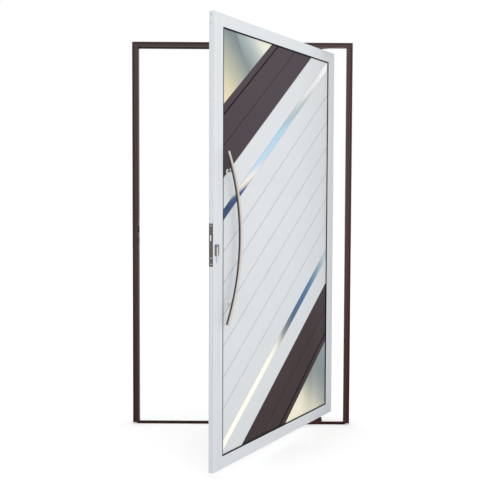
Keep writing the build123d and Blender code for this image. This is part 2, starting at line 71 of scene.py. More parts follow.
# %% Places on the leaf
MM = 0.001
pivot = Vector(joints["leaf_pivot"]["pos_m"])
open_angle = radians(-joints["leaf_pivot"]["range_deg"][0])
along_leaf = Vector((cos(open_angle), sin(open_angle), 0))
through_leaf = Vector((-sin(open_angle), cos(open_angle), 0))
LOCK_REACH = 991.5 * MM
lock_edge = Vector((pivot.x, pivot.y, 0)) - along_leaf * LOCK_REACH


def on_leaf(from_edge, behind, height):
    """A point in mm from the leaf's lock edge, behind its middle plane and above the floor."""
    level = lock_edge + along_leaf * from_edge * MM + through_leaf * behind * MM
    return level + Vector((0, 0, height * MM))


print("open angle", round(open_angle, 4), "lock edge at", tuple(round(v, 4) for v in lock_edge))

# %% [markdown]
# ## Camera
#
# The camera stands about four metres in front of the door, a little right of its middle and at
# breast height, and looks very slightly down. Its three turns, lens and small shift were worked
# out from the corners of the frame and the leaf, so the render lies over the photograph. A camera
# looks along its own -Z, so the three directions go into the matrix as right, up and backwards.

# %% Camera
PICTURE = 480
FOCAL_PIXELS = 735.62
CENTRE_PIXEL = (282.67, 228.58)
SENSOR = 36.0
CAMERA_PLACE = (0.2215, -4.0553, 1.2658)
YAW = -0.042
PITCH = -2.520
ROLL = -0.346
yaw = Matrix.Rotation(radians(YAW), 3, "Z")
pitch = Matrix.Rotation(radians(PITCH), 3, "X")
roll = Matrix.Rotation(radians(ROLL), 3, "Y")
turned = yaw @ pitch @ roll
right, forward, up = turned.col[0], turned.col[1], turned.col[2]
camera_data = bpy.data.cameras.new("camera")
camera_data.sensor_width = SENSOR
camera_data.lens = FOCAL_PIXELS / PICTURE * SENSOR
camera_data.shift_x = (PICTURE / 2 - CENTRE_PIXEL[0]) / PICTURE
camera_data.shift_y = (CENTRE_PIXEL[1] - PICTURE / 2) / PICTURE
camera = bpy.data.objects.new("camera", camera_data)
bpy.context.scene.collection.objects.link(camera)
axes = Matrix((right, up, -forward)).transposed().to_4x4()
camera.matrix_world = Matrix.Translation(CAMERA_PLACE) @ axes
bpy.context.scene.camera = camera
print("lens", round(camera_data.lens, 2), "mm")
print("shift", round(camera_data.shift_x, 4), round(camera_data.shift_y, 4))

# %% [markdown]
# ## Colours, nodes and materials
#
# Paint makers and pictures give colours in sRGB, while shaders reckon in linear light, so one
# function turns a hex value into what a socket wants.

# %% Colours
def linear(hex_colour):
    """Linear RGBA of an sRGB hex colour such as "#DADEE2"."""
    values = []
    for start in (1, 3, 5):
        v = int(hex_colour[start:start + 2], 16) / 255
        values.append(v / 12.92 if v <= 0.04045 else ((v + 0.055) / 1.055) ** 2.4)
    return (*values, 1.0)


print("half grey in linear light", round(linear("#808080")[0], 3))

# %% [markdown]
# The second small function adds a node, fills in its settings and links its inputs, which keeps
# each material down to the few lines that say what the finish is. A colour ramp takes its stops
# through the same function.

# %% Node helper
def add_node(tree, kind, settings=None, **inputs):
    """Add a node with its settings and links.

    Settings are the node's own attributes, or "stops": the (place, hex colour) pairs of a ramp.
    Inputs are values or sockets, by the socket's name, or by its number after an underscore.
    """
    node = tree.nodes.new(kind)
    for name, value in (settings or {}).items():
        if name == "stops":
            ramp = node.color_ramp
            while len(ramp.elements) < len(value):
                ramp.elements.new(1.0)
            for element, (place, colour) in zip(ramp.elements, value):
                element.position = place
                element.color = linear(colour)
        else:
            setattr(node, name, value)
    for name, value in inputs.items():
        key = int(name[1:]) if name[0] == "_" and name[1:].isdigit() else name.replace("_", " ")
        socket = node.inputs[key]
        if isinstance(value, bpy.types.NodeSocket):
            tree.links.new(value, socket)
        else:
            socket.default_value = value
    return node


# %% [markdown]
# Three more helpers start a material, read a place in the frame as a value for a ramp, and give a
# finish to CAD pieces.

# %% Material helpers
def new_material(name, **surface):
    """An empty material with one Principled shader that has the given fixed values."""
    material = bpy.data.materials.new(name)
    material.use_nodes = True
    tree = material.node_tree
    tree.nodes.clear()
    shader = add_node(tree, "ShaderNodeBsdfPrincipled", **surface)
    add_node(tree, "ShaderNodeOutputMaterial", Surface=shader.outputs["BSDF"])
    return material, tree, shader


def place_along(tree, start, direction, length):
    """A value from 0 at start to 1 at length metres along a direction of the shared frame."""
    place = add_node(tree, "ShaderNodeTexCoord").outputs["Object"]
    from_start = add_node(
        tree, "ShaderNodeVectorMath", {"operation": "SUBTRACT"}, _0=place, _1=start
    )
    share = add_node(
        tree, "ShaderNodeVectorMath", {"operation": "DOT_PRODUCT"},
        _0=from_start.outputs[0], _1=direction / length,
    )
    return share.outputs["Value"]


def finish(material, *names):
    """Give CAD nodes a finish."""
    for name in names:
        mesh = nodes[name].data
        mesh.materials.clear()
        mesh.materials.append(material)
    print(material.name, "on", len(names), "pieces")


# %% [markdown]
# ## Light, world and floor
#
# The photograph is a catalogue cut-out: an evenly lit door on white. A plain white world does
# most of the lighting, so a colour renders about as it is written. A large soft box in front
# models the edges a little, and a tall narrow one on the right lights the stile that stands in
# the shade of its jamb. What the camera sees past the door, and what metal and glass mirror of
# it, is full white, so the world is a little brighter for those rays than it is as a light.

# %% World
WORLD_LIGHT = 0.94


def seen_directly(tree):
    """1 for rays from the camera, and for those that gloss or glass sends on, else 0."""
    rays = add_node(tree, "ShaderNodeLightPath")
    seen = add_node(
        tree, "ShaderNodeMath", {"operation": "MAXIMUM"},
        _0=rays.outputs["Is Camera Ray"], _1=rays.outputs["Is Glossy Ray"],
    )
    either = add_node(
        tree, "ShaderNodeMath", {"operation": "MAXIMUM"},
        _0=seen.outputs[0], _1=rays.outputs["Is Transmission Ray"],
    )
    return either.outputs[0]


world = bpy.data.worlds.new("studio")
bpy.context.scene.world = world
world.use_nodes = True
tree = world.node_tree
tree.nodes.clear()
strength = add_node(
    tree, "ShaderNodeMapRange", Value=seen_directly(tree), To_Min=WORLD_LIGHT, To_Max=1.0
)
background = add_node(
    tree, "ShaderNodeBackground", Color=(1, 1, 1, 1), Strength=strength.outputs["Result"]
)
add_node(tree, "ShaderNodeOutputWorld", Surface=background.outputs["Background"])
print(world.name, "gives", WORLD_LIGHT, "of full white")

# %% [markdown]
# Both lamps are soft boxes that the camera doesn't see.

# %% Lamps
def soft_lamp(name, place, target, width, height, power):
    """A plain soft box that looks from a place to a target and isn't seen itself."""
    data = bpy.data.lights.new(name, "AREA")
    data.shape = "RECTANGLE"
    data.size = width
    data.size_y = height
    data.energy = power
    lamp = bpy.data.objects.new(name, data)
    bpy.context.scene.collection.objects.link(lamp)
    aim = (Vector(target) - Vector(place)).to_track_quat("-Z", "Y").to_matrix().to_4x4()
    lamp.matrix_world = Matrix.Translation(place) @ aim
    lamp.visible_camera = False
    print(name, power, "W")


soft_lamp(
    "front_lamp", place=(1.5, -4.6, 2.4), target=(0.1, -0.3, 1.1), width=3.0, height=3.0,
    power=28.0,
)
soft_lamp(
    "side_lamp", place=(1.4, -1.25, 1.15), target=(0.4, -0.1, 1.05), width=1.0, height=2.4,
    power=2.4,
)

# %% [markdown]
# The floor is a plain white sheet under the sill. Where it is seen it also glows a little, so
# that it melts into the white background while a soft shadow of the door still shows on it.

# %% Floor
FLOOR_REACH = 14.0
FLOOR_GLOW = 0.32
UNDER_SILL = -0.0005
corners = [(-1, -1), (1, -1), (1, 1), (-1, 1)]
floor_mesh = bpy.data.meshes.new("floor")
floor_points = [(x * FLOOR_REACH, y * FLOOR_REACH, UNDER_SILL) for x, y in corners]
floor_mesh.from_pydata(floor_points, [], [(0, 1, 2, 3)])
floor = bpy.data.objects.new("floor", floor_mesh)
bpy.context.scene.collection.objects.link(floor)
floor_paint = bpy.data.materials.new("white_floor")
floor_paint.use_nodes = True
tree = floor_paint.node_tree
tree.nodes.clear()
matt = add_node(tree, "ShaderNodeBsdfDiffuse", Color=linear("#E6E6E6"))
glow_strength = add_node(
    tree, "ShaderNodeMath", {"operation": "MULTIPLY"}, _0=seen_directly(tree), _1=FLOOR_GLOW
)
glow = add_node(tree, "ShaderNodeEmission", Strength=glow_strength.outputs[0])
both = add_node(tree, "ShaderNodeAddShader", _0=matt.outputs[0], _1=glow.outputs[0])
add_node(tree, "ShaderNodeOutputMaterial", Surface=both.outputs[0])
floor_mesh.materials.append(floor_paint)
print("floor", 2 * FLOOR_REACH, "m wide")

# %% [markdown]
# ## Powder coat
#
# Frame and leaf are powder coated aluminium: a dry paint that is baked on. It has a satin gloss
# and a very fine orange peel, cells of about a millimetre and a half, and thick coats differ a
# touch in tone from place to place. The peel is a noise bump and the tone a much larger, faint
# noise. Both read the place in the frame, so they run on from piece to piece without a seam.
# Light and shade are painted into the coat by a ramp over the height: painted shade makes it
# warmer and darker near the floor, and painted sky light makes it lighter higher up. A low
# specular level suits the fine, slightly chalky surface of the paints. The sill is the same
# brown, but feet have dulled it to a matt finish.

# %% Powder coat
PEEL_CELL = 1.5 * MM
PEEL_DEPTH = 0.02 * MM
TONE_CELL = 180 * MM
TONE_STRENGTH = 0.10
DOOR_HEIGHT = 2.1


def powder_coat(name, painted_light_by_height, roughness, specular):
    """Satin powder coat: painted light and shade from floor to head, and a faint tone in large soft
    patches.
    """
    material, tree, shader = new_material(
        name, Roughness=roughness, IOR=1.5, Specular_IOR_Level=specular
    )
    place = add_node(tree, "ShaderNodeTexCoord").outputs["Object"]
    height = place_along(tree, Vector(), Vector((0, 0, 1)), DOOR_HEIGHT)
    paint = add_node(tree, "ShaderNodeValToRGB", {"stops": painted_light_by_height}, Fac=height)
    tone = add_node(tree, "ShaderNodeTexNoise", Vector=place, Scale=1 / TONE_CELL, Detail=2.0)
    patches = add_node(
        tree, "ShaderNodeValToRGB", {"stops": [(0.35, "#E8E8E8"), (0.65, "#FFFFFF")]},
        Fac=tone.outputs["Fac"],
    )
    toned = add_node(
        tree, "ShaderNodeMix", {"data_type": "RGBA", "blend_type": "MULTIPLY"},
        Factor=TONE_STRENGTH, _6=paint.outputs["Color"], _7=patches.outputs["Color"],
    )
    tree.links.new(toned.outputs[2], shader.inputs["Base Color"])
    cells = add_node(tree, "ShaderNodeTexNoise", Vector=place, Scale=1 / PEEL_CELL, Detail=1.0)
    bump = add_node(
        tree, "ShaderNodeBump", Strength=1.0, Distance=PEEL_DEPTH, Height=cells.outputs["Fac"]
    )
    tree.links.new(bump.outputs["Normal"], shader.inputs["Normal"])
    return material, tree, shader, toned.outputs[2]


# The ramps over the height in these calls are painted light and shade.
white_coat = powder_coat(
    "white_powder_coat", [(0.0, "#D8DCE0"), (1.0, "#E0E4E7")], roughness=0.50, specular=0.30
)[0]
board_white = powder_coat(
    "white_board_powder_coat", [(0.0, "#DADDE0"), (1.0, "#DEE2E5")], roughness=0.50, specular=0.30
)
board_brown = powder_coat(
    "brown_board_powder_coat", [(0.1, "#332224"), (0.9, "#473D44")], roughness=0.50, specular=0.20
)
frame_brown = powder_coat(
    "brown_frame_powder_coat", [(0.0, "#3A1F19"), (0.45, "#49332E"), (1.0, "#4B3D3A")],
    roughness=0.50, specular=0.20,
)[0]
sill_brown = powder_coat(
    "brown_sill_powder_coat", [(0.0, "#341F1B"), (1.0, "#341F1B")], roughness=0.85, specular=0.05
)[0]
coats = (white_coat, board_white[0], board_brown[0], frame_brown, sill_brown)
print("powder coats", [coat.name for coat in coats])

# %% [markdown]
# Shade is painted into the V grooves between the boards: a grey blended into the flanks of the
# white boards' grooves makes them read as thin grey lines, and a nearly black one makes those of
# the brown boards read as nearly black lines. The flanks of a groove lean away from the boards'
# face, so the share of the normal that points through the leaf tells them from it. The boards'
# edges get the painted shade too, but they are out of sight.

# %% Board grooves
LEANING = 0.80
NEARLY_FLAT = 0.95


def paint_groove_shade(board_coat, colour, strength):
    """Paint shade into the leaning flanks of the boards' grooves by blending in a colour."""
    material, tree, shader, paint = board_coat
    lean = add_node(
        tree, "ShaderNodeVectorMath", {"operation": "DOT_PRODUCT"},
        _0=add_node(tree, "ShaderNodeTexCoord").outputs["Normal"], _1=through_leaf,
    )
    flatness = add_node(tree, "ShaderNodeMath", {"operation": "ABSOLUTE"}, _0=lean.outputs["Value"])
    shaded_flank = add_node(
        tree, "ShaderNodeMapRange", Value=flatness.outputs[0],
        From_Min=LEANING, From_Max=NEARLY_FLAT, To_Min=strength, To_Max=0.0,
    )
    with_groove_shade = add_node(
        tree, "ShaderNodeMix", {"data_type": "RGBA"},
        Factor=shaded_flank.outputs["Result"], _6=paint, _7=linear(colour),
    )
    tree.links.new(with_groove_shade.outputs[2], shader.inputs["Base Color"])
    return material


# The grey and the nearly black colour are painted shade in the grooves.
white_boards = paint_groove_shade(board_white, "#8E9092", 0.75)
brown_boards = paint_groove_shade(board_brown, "#0C080C", 0.90)
plain_boards = [f"plain_board_{number}" for number in range(1, 8)]
finish(
    white_coat, "lock_stile", "pivot_stile", "top_rail", "bottom_rail", "upper_glass_bead",
    "lower_glass_bead",
)
finish(white_boards, "upper_white_board", "lower_white_board", *plain_boards)
finish(
    brown_boards, "upper_dark_trim", "lower_dark_trim", "upper_dark_board_1", "upper_dark_board_2",
    "lower_dark_board_1", "lower_dark_board_2",
)
finish(frame_brown, "lock_jamb", "pivot_jamb", "head", "pivot_block")
finish(sill_brown, "sill")

# %% [markdown]
# ## Glazing rubber
#
# The ring between leaf profile and lining is extruded EPDM rubber: nearly black, matt, with the
# faint dry bloom that such rubber gets. A soft noise in the colour gives the bloom.

# %% Glazing rubber
BLOOM_CELL = 25 * MM
rubber, tree, shader = new_material(
    "epdm_rubber", Roughness=0.60, IOR=1.5, Specular_IOR_Level=0.1
)
place = add_node(tree, "ShaderNodeTexCoord").outputs["Object"]
bloom = add_node(tree, "ShaderNodeTexNoise", Vector=place, Scale=1 / BLOOM_CELL, Detail=3.0)
black = add_node(
    tree, "ShaderNodeValToRGB", {"stops": [(0.3, "#07070E"), (0.7, "#10101B")]},
    Fac=bloom.outputs["Fac"],
)
tree.links.new(black.outputs["Color"], shader.inputs["Base Color"])
finish(rubber, "front_gasket", "back_gasket")

# %% [markdown]
# Such a rubber ends in a thin soft lip that lies over the arris of the profile and hides the gap.
# The lip is one small cross-section carried round the opening, with a mitre at each corner, so
# four copies of the section joined by faces make the whole ring. Distances in the section are
# counted from the edge of the opening inwards, and from the middle of the leaf outwards.

# %% Rubber lips
PANEL_SIDE = 71.0
PANEL_WIDE = 982.5
PANEL_LOW = 95.0
PANEL_TALL = 1911.0
LIP_SECTION = (
    (-1.3, 12.5), (-1.2, 12.7), (-0.8, 12.85), (0.0, 12.95), (2.6, 12.95), (3.4, 12.8),
    (4.0, 12.5), (4.3, 12.0), (4.4, 11.4), (4.4, 10.6), (0.3, 10.6), (0.3, 12.5),
)


def rubber_lip(name, side):
    """The ring of one face of the leaf: side -1 is the front, 1 the back."""
    mesh = bmesh.new()
    rings = []
    for right_end, upper_end in ((0, 0), (1, 0), (1, 1), (0, 1)):
        ring = []
        for inwards, outwards in LIP_SECTION:
            across = PANEL_SIDE + right_end * PANEL_WIDE + inwards * (1 - 2 * right_end)
            height = PANEL_LOW + upper_end * PANEL_TALL + inwards * (1 - 2 * upper_end)
            ring.append(mesh.verts.new(on_leaf(across, side * outwards, height)))
        rings.append(ring)
    for here, there in zip(rings, rings[1:] + rings[:1]):
        for step in range(len(LIP_SECTION)):
            after = (step + 1) % len(LIP_SECTION)
            mesh.faces.new((here[step], here[after], there[after], there[step]))
    bmesh.ops.recalc_face_normals(mesh, faces=mesh.faces)
    data = bpy.data.meshes.new(name)
    mesh.to_mesh(data)
    mesh.free()
    data.materials.append(rubber)
    piece = bpy.data.objects.new(name, data)
    bpy.context.scene.collection.objects.link(piece)
    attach(piece, "leaf")
    print(name, len(data.polygons), "faces")


rubber_lip("front_rubber_lip", -1)
rubber_lip("back_rubber_lip", 1)

# %% [markdown]
# ## Polished strips
#
# Each strip is bright polished steel sheet, let in flush with the boards. It mirrors the
# surroundings of the real door: sky, a wall, the dark frame. In a white studio a mirror would
# show only white, so the reflections that the strips carry are written into them as a few tones
# along their length. The edge of the dark reflection in the upper strip crosses it at a low
# slant, so the tones there run square to that slant. A softened, partly metallic surface keeps
# the tones clear from every side.

# %% Polished strips
SLOPE = radians(39.8)


def polished_strip(name, start, slant, stops):
    """Bright steel whose tones run along the strip from a start point, with slanted edges."""
    material, tree, shader = new_material(name, Metallic=0.6, Roughness=0.40)
    square_to_slant = along_leaf * sin(slant) - Vector((0, 0, cos(slant)))
    share_of_run = sin(slant - SLOPE) / cos(SLOPE)
    share = place_along(tree, start, square_to_slant, PANEL_WIDE * MM * share_of_run)
    tones = add_node(tree, "ShaderNodeValToRGB", {"stops": stops}, Fac=share)
    tree.links.new(tones.outputs["Color"], shader.inputs["Base Color"])
    return material


UPPER_STRIP_START = on_leaf(PANEL_SIDE, 0, 1178.0)
LOWER_STRIP_START = on_leaf(PANEL_SIDE, 0, 140.0)
upper_strip = polished_strip("polished_steel_upper", UPPER_STRIP_START, radians(26), [
    (0.00, "#3F5A7C"), (0.05, "#36517C"), (0.11, "#3E5B88"), (0.14, "#C9C6C0"), (0.19, "#F2EDE4"),
    (0.25, "#DCE6EC"), (0.30, "#BFDCF0"), (0.50, "#B6D7EC"), (0.58, "#B2C8D3"), (0.64, "#C1CFD5"),
    (0.69, "#D0DBDB"), (0.74, "#E8EFED"), (0.79, "#FFFFFF"),
])
lower_strip = polished_strip("polished_steel_lower", LOWER_STRIP_START, radians(90), [
    (0.00, "#FFFEF2"), (0.38, "#FDFCEF"), (0.46, "#EFEFE2"), (0.50, "#CDCDC2"), (0.54, "#8F9593"),
    (0.58, "#6F7C88"), (0.63, "#4A6888"), (0.72, "#466F98"), (0.82, "#6490B2"), (0.92, "#9DB7C6"),
    (1.00, "#D8DEDC"),
])
finish(upper_strip, "upper_mirror_strip")
finish(lower_strip, "lower_mirror_strip")

# %% [markdown]
# ## Reflective glass corners
#
# The two corners are glazed with mirrored solar glass, bronze in tone. Its reflections of what is
# round the real door are painted into its colour, as two fields that meet along a fold in the
# upper pane and one soft field in the lower. The painted tones run square to one direction across
# the pane, so a ramp along it carries them.

# %% Tones of the panes
TONE_LEAN = radians(49.5)
tone_way = along_leaf * cos(TONE_LEAN) + Vector((0, 0, sin(TONE_LEAN)))
TONE_START = 500.0
TONE_RUN = 1300.0


def tone_share(tree):
    """0 to 1 along the direction in which the panes' tones change."""
    start = on_leaf(0, 0, 0) + tone_way * TONE_START * MM
    return place_along(tree, start, tone_way, TONE_RUN * MM)


def tone_stops(pairs):
    """Ramp stops from distances in millimetres along the tone direction."""
    return [((distance - TONE_START) / TONE_RUN, colour) for distance, colour in pairs]


print("tones of the panes run over", TONE_RUN, "mm")

# %% [markdown]
# In the upper pane a painted reflection of a shaded field and one of a bright field meet along the
# fold.

# %% Upper pane
upper_glass, tree, shader = new_material(
    "mirrored_glass_upper", Roughness=0.12, IOR=1.52, Specular_IOR_Level=0.3
)
share = tone_share(tree)
shade_side = add_node(tree, "ShaderNodeValToRGB", {"stops": tone_stops([
    (1343, "#E9DBBA"), (1400, "#DFD1B2"), (1435, "#CEC8AB"), (1481, "#B8B7A4"), (1527, "#A2A79A"),
    (1572, "#889491"), (1600, "#7B888B"), (1625, "#768487"),
])}, Fac=share)
sky_side = add_node(tree, "ShaderNodeValToRGB", {"stops": tone_stops([
    (1570, "#828C89"), (1594, "#868F8F"), (1617, "#8C989A"), (1640, "#98A5A6"), (1663, "#A2AEAD"),
    (1708, "#C1C8C4"), (1754, "#E4E5D6"), (1799, "#EEECD6"),
])}, Fac=share)
FOLD_TOP = (180, 1995)
FOLD_WAY = (150, 85)
fold_way = (along_leaf * FOLD_WAY[0] + Vector((0, 0, FOLD_WAY[1]))).normalized()
FOLD_SOFT = 6 * MM
beyond_fold = place_along(tree, on_leaf(FOLD_TOP[0], 0, FOLD_TOP[1]), fold_way, FOLD_SOFT)
side = add_node(tree, "ShaderNodeMapRange", Value=beyond_fold, From_Min=-0.5, From_Max=0.5)
mixed = add_node(
    tree, "ShaderNodeMix", {"data_type": "RGBA"},
    Factor=side.outputs["Result"], _6=shade_side.outputs["Color"], _7=sky_side.outputs["Color"],
)
tree.links.new(mixed.outputs[2], shader.inputs["Base Color"])
finish(upper_glass, "upper_glass")

# %% [markdown]
# The lower pane shows one soft field of painted reflection, so a single ramp is enough.

# %% Lower pane
lower_glass, tree, shader = new_material(
    "mirrored_glass_lower", Roughness=0.12, IOR=1.52, Specular_IOR_Level=0.3
)
soft_field = add_node(tree, "ShaderNodeValToRGB", {"stops": tone_stops([
    (522, "#F8F1D6"), (600, "#F7F0D8"), (659, "#EAE6D2"), (704, "#D3D3C0"), (750, "#B4B7AD"),
    (795, "#9CA39D"), (841, "#889393"), (890, "#7B8B8F"), (932, "#7F8F91"), (970, "#8A9596"),
])}, Fac=tone_share(tree))
tree.links.new(soft_field.outputs["Color"], shader.inputs["Base Color"])
finish(lower_glass, "lower_glass")

# %% [markdown]
# ## Steel, chrome and small metals
#
# The lock plate, the dead bolt and the pivot pins are dull rolled steel with fine drawing lines
# along their height, and the latch is a brighter steel. The rosettes, cylinder and keyhole cover
# are chrome plated, and the strike box is zinc plated and dulled. The lines are a noise stretched
# a hundredfold along Z. Real ones are finer than a tenth of a millimetre; here they are a third
# of one across, so that they still show close up.

# %% Small metals
LINE_WIDTH = 0.35 * MM
STRETCH = 100.0
LINE_DEPTH = 0.01 * MM
PLATED_DEPTH = 0.004 * MM


def drawn_metal(name, light, dark, roughness, depth=LINE_DEPTH):
    """Metal with fine lines along Z."""
    material, tree, shader = new_material(name, Metallic=1.0, Roughness=roughness)
    place = add_node(tree, "ShaderNodeTexCoord").outputs["Object"]
    long_cells = add_node(
        tree, "ShaderNodeMapping", {"vector_type": "POINT"}, Vector=place, Scale=(1, 1, 1 / STRETCH)
    )
    lines = add_node(
        tree, "ShaderNodeTexNoise",
        Vector=long_cells.outputs["Vector"], Scale=1 / LINE_WIDTH, Detail=2.0,
    )
    tones = add_node(
        tree, "ShaderNodeValToRGB", {"stops": [(0.3, dark), (0.7, light)]}, Fac=lines.outputs["Fac"]
    )
    tree.links.new(tones.outputs["Color"], shader.inputs["Base Color"])
    bump = add_node(
        tree, "ShaderNodeBump", Strength=1.0, Distance=depth, Height=lines.outputs["Fac"]
    )
    tree.links.new(bump.outputs["Normal"], shader.inputs["Normal"])
    return material


plate_steel = drawn_metal("dull_rolled_steel", "#6E6C67", "#5E5C57", roughness=0.45)
latch_steel = drawn_metal("bright_latch_steel", "#F6F0EA", "#E4E4E6", roughness=0.20)
chrome = drawn_metal("chrome_plate", "#E4E6E8", "#D2D4D8", roughness=0.20, depth=PLATED_DEPTH)
cylinder_chrome = drawn_metal(
    "chrome_plate_cylinder", "#B6BCBE", "#A2A8AC", roughness=0.25, depth=PLATED_DEPTH
)
zinc = drawn_metal("zinc_plate", "#5C5955", "#4A4743", roughness=0.45)
finish(plate_steel, "lock_case", "dead_bolt", "bottom_pivot_pin", "top_pivot_pin")
finish(latch_steel, "latch_bolt")
finish(chrome, "keyhole_cover")
finish(cylinder_chrome, "lock_cylinder")
finish(zinc, "strike_box")

# %% [markdown]
# The bearing blocks of the two pins are black acetal, an engineering plastic cut from bar. It is
# smooth and a little waxy, and a faint grain of two millimetres keeps it from looking like paint.

# %% Black acetal
GRAIN_CELL = 2 * MM
bush_plastic, tree, shader = new_material("black_acetal", Roughness=0.5, IOR=1.48)
place = add_node(tree, "ShaderNodeTexCoord").outputs["Object"]
grain = add_node(tree, "ShaderNodeTexNoise", Vector=place, Scale=1 / GRAIN_CELL, Detail=1.0)
blacks = add_node(
    tree, "ShaderNodeValToRGB", {"stops": [(0.3, "#1B1B1D"), (0.7, "#222224")]},
    Fac=grain.outputs["Fac"],
)
tree.links.new(blacks.outputs["Color"], shader.inputs["Base Color"])
finish(bush_plastic, "top_pivot_bush", "bottom_pivot_bush")

# %% [markdown]
# Reflections are painted on the rosettes: the sky above, the paving below and the dark doorway
# at their rims. A ramp over their height paints the first two, and the distance from their middle
# paints the rims.

# %% Rosettes
ROSETTE_FROM_EDGE = 25.0
ROSETTE_HALF_WIDTH = 14.5 * MM
RIM_FROM = 0.45
RIM_FULL = 0.75
rosette_low, rosette_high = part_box("rosettes")
rosette_chrome, tree, shader = new_material("chrome_plate_rosette", Metallic=1.0, Roughness=0.16)
rosette_tall = rosette_high.z - rosette_low.z
rise = place_along(tree, Vector((0, 0, rosette_low.z)), Vector((0, 0, 1)), rosette_tall)
middle = add_node(tree, "ShaderNodeValToRGB", {"stops": [
    (0.00, "#5A4E52"), (0.08, "#C0A880"), (0.25, "#C8B898"), (0.35, "#949C9E"), (0.60, "#9CA4A6"),
    (0.72, "#8E96A0"), (0.88, "#7E96B8"), (1.00, "#8890A0"),
]}, Fac=rise)
across = place_along(tree, on_leaf(ROSETTE_FROM_EDGE, 0, 0), along_leaf, ROSETTE_HALF_WIDTH)
from_middle = add_node(tree, "ShaderNodeMath", {"operation": "ABSOLUTE"}, _0=across)
rim = add_node(
    tree, "ShaderNodeMapRange", Value=from_middle.outputs[0], From_Min=RIM_FROM, From_Max=RIM_FULL
)
rimmed = add_node(
    tree, "ShaderNodeMix", {"data_type": "RGBA"},
    Factor=rim.outputs["Result"], _6=middle.outputs["Color"], _7=linear("#6C646A"),
)
tree.links.new(rimmed.outputs[2], shader.inputs["Base Color"])
finish(rosette_chrome, "rosettes")

# %% [markdown]
# ## Pull bars
#
# Each pull is a round satin stainless bar bent to one long bow, its ends cut square and the edges
# just broken. The bow is a plain arc, so the mesh is made ring by ring: a circle is carried along
# the arc, and four smaller rings round off the edge at each end.

# %% Bow of the pull bars
BAR_R = 8.5
BAR_HALF_CHORD = 386.0
BAR_SAG = 99.0
BAR_MID_FROM_EDGE = 165.0
BAR_MID_HEIGHT = 1078.0
BAR_FROM_MIDDLE = 42.5
BAR_EDGE_R = 1.5
EDGE_RINGS = 4
RINGS = 96
ROUND = 40
bow_radius = (BAR_HALF_CHORD**2 + BAR_SAG**2) / (2 * BAR_SAG)
bow_swing = asin(BAR_HALF_CHORD / bow_radius)


def bar_place(angle):
    """Middle of the bar and its direction at an angle of the bow, as (across, up) pairs in mm."""
    across = BAR_MID_FROM_EDGE - bow_radius + bow_radius * cos(angle)
    return (across, BAR_MID_HEIGHT + bow_radius * sin(angle)), (-sin(angle), cos(angle))


def bar_stations():
    """Angle along the bow and ring radius, from one rounded end to the other."""
    edge = BAR_EDGE_R / bow_radius
    stations = []
    for step in range(EDGE_RINGS + 1):
        turn = step / EDGE_RINGS * pi / 2
        stations.append((-bow_swing + edge * (1 - cos(turn)), BAR_R - BAR_EDGE_R * (1 - sin(turn))))
    inner = bow_swing - edge
    for step in range(1, RINGS):
        stations.append((-inner + 2 * inner * step / RINGS, BAR_R))
    stations += [(-angle, radius) for angle, radius in reversed(stations[:EDGE_RINGS + 1])]
    return stations


print("bow radius", round(bow_radius, 1), "mm,", len(bar_stations()), "rings on each bar")

# %% [markdown]
# The rings become one closed mesh. Its UV map says how far round the bar and how far along it a
# point is, which the brushed finish follows.

# %% Pull bar mesh
def pull_bar(name, behind):
    """One bowed bar as a closed mesh with a UV map: x round the bar, y along it."""
    mesh = bmesh.new()
    rings = []
    for angle, radius in bar_stations():
        (across, up_leaf), (dx, dz) = bar_place(angle)
        ring = []
        for step in range(ROUND):
            turn = 2 * pi * step / ROUND
            out = radius * cos(turn)
            back = radius * sin(turn)
            place = on_leaf(across + dz * out, behind + back, up_leaf - dx * out)
            ring.append(mesh.verts.new(place))
        rings.append(ring)
    uv = mesh.loops.layers.uv.new("bar")
    for row, (lower, upper) in enumerate(zip(rings, rings[1:])):
        for step in range(ROUND):
            after = (step + 1) % ROUND
            face = mesh.faces.new((lower[step], lower[after], upper[after], upper[step]))
            corners = [(step, row), (step + 1, row), (step + 1, row + 1), (step, row + 1)]
            for loop, (u, v) in zip(face.loops, corners):
                loop[uv].uv = (u / ROUND, v / (len(rings) - 1))
            face.smooth = True
    mesh.faces.new(list(reversed(rings[0])))
    mesh.faces.new(rings[-1])
    bmesh.ops.recalc_face_normals(mesh, faces=mesh.faces)
    data = bpy.data.meshes.new(name)
    mesh.to_mesh(data)
    mesh.free()
    piece = bpy.data.objects.new(name, data)
    bpy.context.scene.collection.objects.link(piece)
    return piece


# %% [markdown]
# The bars are brushed round, which shows as faint lines across them. Their reflections are
# painted on: the white boards on one side, and the dark doorway with painted shade on the other.
# The UV round the bar says which side a point is on. The brush lines are drawn 0.4 mm wide,
# several times coarser than real ones, so that they show.

# %% Satin steel for bars and posts
satin, tree, shader = new_material("satin_stainless_bar", Metallic=1.0, Roughness=0.28)
uv = add_node(tree, "ShaderNodeUVMap", {"uv_map": "bar"})
split = add_node(tree, "ShaderNodeSeparateXYZ", Vector=uv.outputs["UV"])
tones = add_node(tree, "ShaderNodeValToRGB", {"stops": [
    (0.00, "#D6D2CC"), (0.25, "#B8B4AE"), (0.33, "#56565E"), (0.38, "#3C3C48"), (0.52, "#454552"),
    (0.59, "#7A7878"), (0.65, "#BEB4A4"), (0.74, "#DED4C6"), (0.85, "#C8BCA8"), (1.00, "#D6D2CC"),
]}, Fac=split.outputs["X"])
BRUSH_WIDTH = 0.4 * MM
BRUSH_STRENGTH = 0.12
PATCHES_ROUND = 2.0
lines_along = 2 * BAR_HALF_CHORD * MM / BRUSH_WIDTH
brush_place = add_node(
    tree, "ShaderNodeMapping", {"vector_type": "POINT"},
    Vector=uv.outputs["UV"], Scale=(PATCHES_ROUND, lines_along, 1),
)
brushing = add_node(
    tree, "ShaderNodeTexNoise", Vector=brush_place.outputs["Vector"], Scale=1.0, Detail=2.0
)
brushed = add_node(
    tree, "ShaderNodeMix", {"data_type": "RGBA", "blend_type": "MULTIPLY"},
    Factor=BRUSH_STRENGTH, _6=tones.outputs["Color"], _7=brushing.outputs["Color"],
)
tree.links.new(brushed.outputs[2], shader.inputs["Base Color"])
